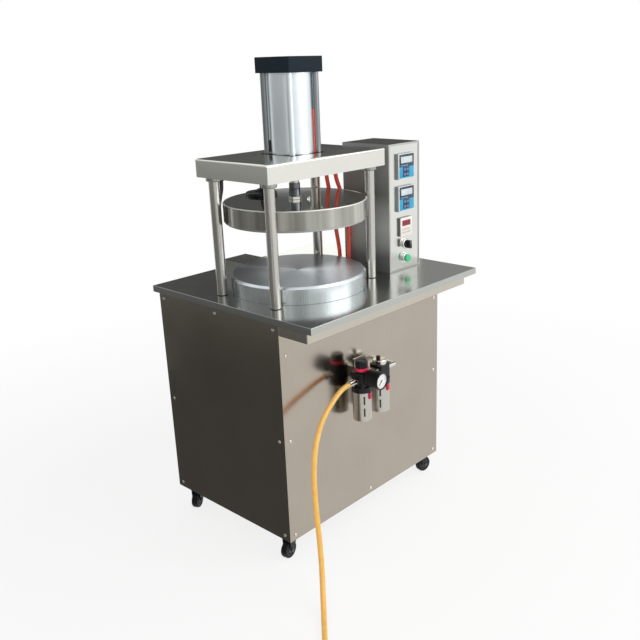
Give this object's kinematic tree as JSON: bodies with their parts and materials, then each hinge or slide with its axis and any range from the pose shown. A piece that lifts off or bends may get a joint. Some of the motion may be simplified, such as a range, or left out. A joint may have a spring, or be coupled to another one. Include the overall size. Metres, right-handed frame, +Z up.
{
  "type": "roti making machine",
  "caption": "Pneumatic roti press: sheet-steel cabinet on swivel casters, heated platen on the table, air-driven heated platen guided above it by columns, control box and air unit.",
  "frame": {"origin": "on the floor under the centre of the table", "axes": "+Z up, +X to the machine's right as its front is faced, -Y out of the front with the air unit and instruments"},
  "size_m": [1.0916, 0.9031, 1.3244],
  "materials": {
    "stainless_sheet": "brushed",
    "frame_steel": "satin",
    "bright_steel": "polished",
    "dark_cover": "dark mirror",
    "cast_aluminium": "turned",
    "black_cap": "anodised",
    "black_plastic": "matte",
    "red_plastic": "gloss",
    "needle": "matte",
    "controller": "gloss",
    "timer": "gloss",
    "green_button": "gloss",
    "red_tube": "gloss",
    "black_conduit": "matte",
    "orange_hose": "gloss",
    "caster_metal": "black",
    "caster_tread": "matte"
  },
  "bodies": {
    "frame": {"table_top": "stainless_sheet", "front_panel": "stainless_sheet", "back_panel": "stainless_sheet", "left_panel": "stainless_sheet", "right_panel": "stainless_sheet", "head_cover": "stainless_sheet", "control_box": "stainless_sheet", "control_panel": "stainless_sheet", "terminal_box": "stainless_sheet", "table_frame": "frame_steel", "cabinet_frame": "frame_steel", "head_plate": "frame_steel", "columns": "bright_steel", "press_fasteners": "bright_steel", "panel_screws": "bright_steel", "frl_fittings": "bright_steel", "air_fittings": "bright_steel", "hose_coupler": "bright_steel", "lower_platen": "cast_aluminium", "cylinder_barrel": "cast_aluminium", "frl_bowls": "cast_aluminium", "frl_bracket": "cast_aluminium", "cylinder_front_cap": "black_cap", "cylinder_rear_cap": "black_cap", "regulator_body": "black_plastic", "lubricator_body": "black_plastic", "gauge_case": "black_plastic", "switch_bezels": "black_plastic", "power_relays": "black_plastic", "solenoid_valve": "black_plastic", "temperature_controllers": "controller", "cycle_timer": "timer", "left_air_tube": "red_tube", "right_air_tube": "red_tube", "column_conduit": "black_conduit", "air_hose": "orange_hose", "hose_coil": "orange_hose", "caster_plates": "caster_metal"},
    "press": {"piston_rod": "bright_steel", "rod_coupling": "bright_steel", "platen_housing": "stainless_sheet", "platen_cover": "dark_cover", "upper_plate": "cast_aluminium", "platen_gland": "black_plastic", "platen_conduit": "black_conduit"},
    "fork_front_left": {"caster_fork_front_left": "caster_metal"},
    "wheel_front_left": {"caster_wheel_front_left": "caster_tread"},
    "fork_front_right": {"caster_fork_front_right": "caster_metal"},
    "wheel_front_right": {"caster_wheel_front_right": "caster_tread"},
    "fork_rear_left": {"caster_fork_rear_left": "caster_metal"},
    "wheel_rear_left": {"caster_wheel_rear_left": "caster_tread"},
    "fork_rear_right": {"caster_fork_rear_right": "caster_metal"},
    "wheel_rear_right": {"caster_wheel_rear_right": "caster_tread"},
    "selector_knob": {"selector_knob": "black_plastic"},
    "start_button": {"start_button": "green_button"},
    "regulator_knob": {"regulator_knob": "black_plastic"},
    "gauge_needle": {"gauge_needle": "needle"},
    "lubricator_adjuster": {"lubricator_adjuster": "black_plastic"},
    "filter_lock": {"filter_lock": "red_plastic"},
    "lubricator_lock": {"lubricator_lock": "red_plastic"}
  },
  "joints": [
    {"name": "press_slide", "type": "slide", "parent": "frame", "child": "press", "axis": [0, 0, 1], "range_m": [-0.1405, 0], "deforming": ["platen_conduit"]},
    {"name": "swivel_front_left", "type": "hinge", "parent": "frame", "child": "fork_front_left", "pos_m": [-0.296, -0.146, 0.072], "axis": [0, 0, 1], "continuous": true},
    {"name": "roll_front_left", "type": "hinge", "parent": "fork_front_left", "child": "wheel_front_left", "pos_m": [-0.31077, -0.1486, 0.025], "axis": [0.1736, -0.9848, 0], "continuous": true},
    {"name": "swivel_front_right", "type": "hinge", "parent": "frame", "child": "fork_front_right", "pos_m": [0.296, -0.146, 0.072], "axis": [0, 0, 1], "continuous": true},
    {"name": "roll_front_right", "type": "hinge", "parent": "fork_front_right", "child": "wheel_front_right", "pos_m": [0.31077, -0.1486, 0.025], "axis": [0.1736, 0.9848, 0], "continuous": true},
    {"name": "swivel_rear_left", "type": "hinge", "parent": "frame", "child": "fork_rear_left", "pos_m": [-0.296, 0.267, 0.072], "axis": [0, 0, 1], "continuous": true},
    {"name": "roll_rear_left", "type": "hinge", "parent": "fork_rear_left", "child": "wheel_rear_left", "pos_m": [-0.30924, 0.25996, 0.025], "axis": [0.4695, -0.8829, 0], "continuous": true},
    {"name": "swivel_rear_right", "type": "hinge", "parent": "frame", "child": "fork_rear_right", "pos_m": [0.296, 0.267, 0.072], "axis": [0, 0, 1], "continuous": true},
    {"name": "roll_rear_right", "type": "hinge", "parent": "fork_rear_right", "child": "wheel_rear_right", "pos_m": [0.28636, 0.27849, 0.025], "axis": [-0.766, -0.6428, 0], "continuous": true},
    {"name": "selector_turn", "type": "hinge", "parent": "frame", "child": "selector_knob", "pos_m": [0.217, -0.1505, 0.793], "axis": [0, 1, 0], "range_deg": [-45, 45]},
    {"name": "start_press", "type": "slide", "parent": "frame", "child": "start_button", "axis": [0, 1, 0], "range_m": [0, 0.004], "stiffness_N_per_m": 300, "springref_m": -0.003},
    {"name": "regulator_turn", "type": "hinge", "parent": "frame", "child": "regulator_knob", "pos_m": [-0.079, -0.231, 0.505], "axis": [0, 0, -1], "range_deg": [0, 1080]},
    {"name": "gauge_reading", "type": "hinge", "parent": "frame", "child": "gauge_needle", "pos_m": [-0.079, -0.3, 0.49], "axis": [0, 1, 0], "range_deg": [0, 270]},
    {"name": "oil_feed_turn", "type": "hinge", "parent": "frame", "child": "lubricator_adjuster", "pos_m": [-0.008, -0.231, 0.516], "axis": [0, 0, 1], "range_deg": [-360, 360]},
    {"name": "filter_lock_slide", "type": "slide", "parent": "frame", "child": "filter_lock", "axis": [0, 0, -1], "range_m": [0, 0.005], "stiffness_N_per_m": 200, "springref_m": -0.003},
    {"name": "lubricator_lock_slide", "type": "slide", "parent": "frame", "child": "lubricator_lock", "axis": [0, 0, -1], "range_m": [0, 0.005], "stiffness_N_per_m": 200, "springref_m": -0.003}
  ],
  "couplings": [
    {"joint": "gauge_reading", "follows": "regulator_turn", "ratio": 0.25}
  ]
}
